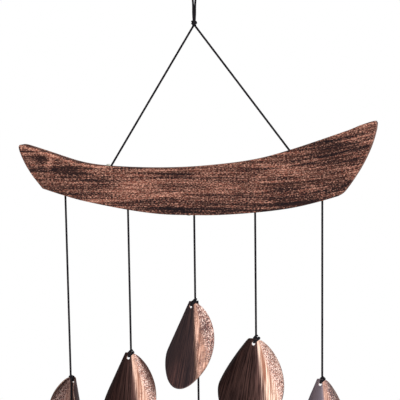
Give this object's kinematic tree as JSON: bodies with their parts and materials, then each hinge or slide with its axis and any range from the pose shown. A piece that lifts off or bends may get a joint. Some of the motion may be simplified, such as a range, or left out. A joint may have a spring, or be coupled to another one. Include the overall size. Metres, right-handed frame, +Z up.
{
  "type": "wind chime",
  "caption": "Hanging wind chime: a boat-shaped wooden bar on a cord hanger, with curled copper-coloured petals knotted one below the other on cords under it.",
  "frame": {"origin": "the point inside the top of the hanging ring that rests on the hook", "axes": "+Z up along the hanging line, +X along the bar to its taller end, -Y out of the bar's front face"},
  "size_m": [0.3044, 0.0381, 0.6175],
  "materials": {
    "steel": "satin",
    "cord": "matte",
    "wood": "dark stain rubbed with copper",
    "glue": "gloss",
    "copper": "brushed, antique patina"
  },
  "bodies": {
    "ring": {"hanging_ring": "steel"},
    "hanger_cord": {"hanger_cord": "cord"},
    "hanger_knot": {"hanger_knot": "cord"},
    "bar": {"top_bar": "wood", "left_leg_cord": "cord", "right_leg_cord": "cord", "left_leg_plug": "glue", "right_leg_plug": "glue", "strand1_plug": "glue", "strand2_plug": "glue", "strand3_plug": "glue", "strand4_plug": "glue", "strand5_plug": "glue"},
    "strand1_cord1": {"strand1_cord1": "cord"},
    "strand1_petal1": {"strand1_petal1": "copper", "strand1_knot1": "cord"},
    "strand1_cord2": {"strand1_cord2": "cord"},
    "strand1_petal2": {"strand1_petal2": "copper", "strand1_knot2": "cord"},
    "strand1_cord3": {"strand1_cord3": "cord"},
    "strand1_petal3": {"strand1_petal3": "copper", "strand1_knot3": "cord"},
    "strand2_cord1": {"strand2_cord1": "cord"},
    "strand2_petal1": {"strand2_petal1": "copper", "strand2_knot1": "cord"},
    "strand2_cord2": {"strand2_cord2": "cord"},
    "strand2_petal2": {"strand2_petal2": "copper", "strand2_knot2": "cord"},
    "strand2_cord3": {"strand2_cord3": "cord"},
    "strand2_petal3": {"strand2_petal3": "copper", "strand2_knot3": "cord"},
    "strand3_cord1": {"strand3_cord1": "cord"},
    "strand3_petal1": {"strand3_petal1": "copper", "strand3_knot1": "cord"},
    "strand3_cord2": {"strand3_cord2": "cord"},
    "strand3_petal2": {"strand3_petal2": "copper", "strand3_knot2": "cord"},
    "strand3_cord3": {"strand3_cord3": "cord"},
    "strand3_petal3": {"strand3_petal3": "copper", "strand3_knot3": "cord"},
    "strand4_cord1": {"strand4_cord1": "cord"},
    "strand4_petal1": {"strand4_petal1": "copper", "strand4_knot1": "cord"},
    "strand4_cord2": {"strand4_cord2": "cord"},
    "strand4_petal2": {"strand4_petal2": "copper", "strand4_knot2": "cord"},
    "strand4_cord3": {"strand4_cord3": "cord"},
    "strand4_petal3": {"strand4_petal3": "copper", "strand4_knot3": "cord"},
    "strand5_cord1": {"strand5_cord1": "cord"},
    "strand5_petal1": {"strand5_petal1": "copper", "strand5_knot1": "cord"},
    "strand5_cord2": {"strand5_cord2": "cord"},
    "strand5_petal2": {"strand5_petal2": "copper", "strand5_knot2": "cord"},
    "strand5_cord3": {"strand5_cord3": "cord"},
    "strand5_petal3": {"strand5_petal3": "copper", "strand5_knot3": "cord"}
  },
  "joints": [
    {"name": "hanger_side_swing", "type": "hinge", "parent": "ring", "child": "hanger_cord", "pos_m": [0, 0, -0.0193], "axis": [0, 1, 0], "range_deg": [-25, 25]},
    {"name": "chime_twist", "type": "hinge", "parent": "hanger_cord", "child": "hanger_knot", "pos_m": [0, 0, -0.05], "axis": [0, 0, 1], "range_deg": [-90, 90]},
    {"name": "bar_swing", "type": "hinge", "parent": "hanger_knot", "child": "bar", "pos_m": [0, 0, -0.0515], "axis": [1, 0, 0], "range_deg": [-25, 25]},
    {"name": "strand1_swing1", "type": "hinge", "parent": "bar", "child": "strand1_cord1", "pos_m": [-0.1114, 0, -0.1956], "axis": [1, 0, 0], "range_deg": [-20, 20]},
    {"name": "strand1_turn1", "type": "hinge", "parent": "strand1_cord1", "child": "strand1_petal1", "pos_m": [-0.107, 0, -0.3507], "axis": [0, 0, 1], "range_deg": [-30, 60]},
    {"name": "strand1_swing2", "type": "hinge", "parent": "strand1_cord1", "child": "strand1_cord2", "pos_m": [-0.107, 0, -0.3507], "axis": [1, 0, 0], "range_deg": [-20, 5]},
    {"name": "strand1_turn2", "type": "hinge", "parent": "strand1_cord2", "child": "strand1_petal2", "pos_m": [-0.1058, 0, -0.4447], "axis": [0, 0, 1], "range_deg": [-60, 60]},
    {"name": "strand1_swing3", "type": "hinge", "parent": "strand1_cord2", "child": "strand1_cord3", "pos_m": [-0.1058, 0, -0.4447], "axis": [1, 0, 0], "range_deg": [-5, 20]},
    {"name": "strand1_turn3", "type": "hinge", "parent": "strand1_cord3", "child": "strand1_petal3", "pos_m": [-0.1046, 0, -0.5387], "axis": [0, 0, 1], "range_deg": [-60, 60]},
    {"name": "strand2_swing1", "type": "hinge", "parent": "bar", "child": "strand2_cord1", "pos_m": [-0.057, 0, -0.207], "axis": [1, 0, 0], "range_deg": [-20, 20]},
    {"name": "strand2_turn1", "type": "hinge", "parent": "strand2_cord1", "child": "strand2_petal1", "pos_m": [-0.0543, 0, -0.3276], "axis": [0, 0, 1], "range_deg": [-60, 60]},
    {"name": "strand2_swing2", "type": "hinge", "parent": "strand2_cord1", "child": "strand2_cord2", "pos_m": [-0.0543, 0, -0.3276], "axis": [1, 0, 0], "range_deg": [-5, 20]},
    {"name": "strand2_turn2", "type": "hinge", "parent": "strand2_cord2", "child": "strand2_petal2", "pos_m": [-0.0531, 0, -0.4216], "axis": [0, 0, 1], "range_deg": [-60, 60]},
    {"name": "strand2_swing3", "type": "hinge", "parent": "strand2_cord2", "child": "strand2_cord3", "pos_m": [-0.0531, 0, -0.4216], "axis": [1, 0, 0], "range_deg": [-5, 20]},
    {"name": "strand2_turn3", "type": "hinge", "parent": "strand2_cord3", "child": "strand2_petal3", "pos_m": [-0.0519, 0, -0.5156], "axis": [0, 0, 1], "range_deg": [-60, 60]},
    {"name": "strand3_swing1", "type": "hinge", "parent": "bar", "child": "strand3_cord1", "pos_m": [0, 0, -0.2111], "axis": [1, 0, 0], "range_deg": [-20, 20]},
    {"name": "strand3_turn1", "type": "hinge", "parent": "strand3_cord1", "child": "strand3_petal1", "pos_m": [0.0012, 0, -0.2828], "axis": [0, 0, 1], "range_deg": [-60, 60]},
    {"name": "strand3_swing2", "type": "hinge", "parent": "strand3_cord1", "child": "strand3_cord2", "pos_m": [0.0012, 0, -0.2828], "axis": [1, 0, 0], "range_deg": [-5, 20]},
    {"name": "strand3_turn2", "type": "hinge", "parent": "strand3_cord2", "child": "strand3_petal2", "pos_m": [0.0042, 0, -0.3768], "axis": [0, 0, 1], "range_deg": [-60, 60]},
    {"name": "strand3_swing3", "type": "hinge", "parent": "strand3_cord2", "child": "strand3_cord3", "pos_m": [0.0042, 0, -0.3768], "axis": [1, 0, 0], "range_deg": [-5, 20]},
    {"name": "strand3_turn3", "type": "hinge", "parent": "strand3_cord3", "child": "strand3_petal3", "pos_m": [0.0072, 0, -0.4708], "axis": [0, 0, 1], "range_deg": [-60, 60]},
    {"name": "strand4_swing1", "type": "hinge", "parent": "bar", "child": "strand4_cord1", "pos_m": [0.0519, 0, -0.2084], "axis": [1, 0, 0], "range_deg": [-20, 20]},
    {"name": "strand4_turn1", "type": "hinge", "parent": "strand4_cord1", "child": "strand4_petal1", "pos_m": [0.0532, 0, -0.3127], "axis": [0, 0, 1], "range_deg": [-60, 60]},
    {"name": "strand4_swing2", "type": "hinge", "parent": "strand4_cord1", "child": "strand4_cord2", "pos_m": [0.0532, 0, -0.3127], "axis": [1, 0, 0], "range_deg": [-5, 20]},
    {"name": "strand4_turn2", "type": "hinge", "parent": "strand4_cord2", "child": "strand4_petal2", "pos_m": [0.0544, 0, -0.4067], "axis": [0, 0, 1], "range_deg": [-60, 60]},
    {"name": "strand4_swing3", "type": "hinge", "parent": "strand4_cord2", "child": "strand4_cord3", "pos_m": [0.0544, 0, -0.4067], "axis": [1, 0, 0], "range_deg": [-20, 5]},
    {"name": "strand4_turn3", "type": "hinge", "parent": "strand4_cord3", "child": "strand4_petal3", "pos_m": [0.0556, 0, -0.5007], "axis": [0, 0, 1], "range_deg": [-60, 60]},
    {"name": "strand5_swing1", "type": "hinge", "parent": "bar", "child": "strand5_cord1", "pos_m": [0.1085, 0, -0.198], "axis": [1, 0, 0], "range_deg": [-20, 20]},
    {"name": "strand5_turn1", "type": "hinge", "parent": "strand5_cord1", "child": "strand5_petal1", "pos_m": [0.1093, 0, -0.3465], "axis": [0, 0, 1], "range_deg": [-60, 60]},
    {"name": "strand5_swing2", "type": "hinge", "parent": "strand5_cord1", "child": "strand5_cord2", "pos_m": [0.1093, 0, -0.3465], "axis": [1, 0, 0], "range_deg": [-5, 20]},
    {"name": "strand5_turn2", "type": "hinge", "parent": "strand5_cord2", "child": "strand5_petal2", "pos_m": [0.1105, 0, -0.4405], "axis": [0, 0, 1], "range_deg": [-60, 60]},
    {"name": "strand5_swing3", "type": "hinge", "parent": "strand5_cord2", "child": "strand5_cord3", "pos_m": [0.1105, 0, -0.4405], "axis": [1, 0, 0], "range_deg": [-5, 20]},
    {"name": "strand5_turn3", "type": "hinge", "parent": "strand5_cord3", "child": "strand5_petal3", "pos_m": [0.1117, 0, -0.5345], "axis": [0, 0, 1], "range_deg": [-60, 60]}
  ]
}
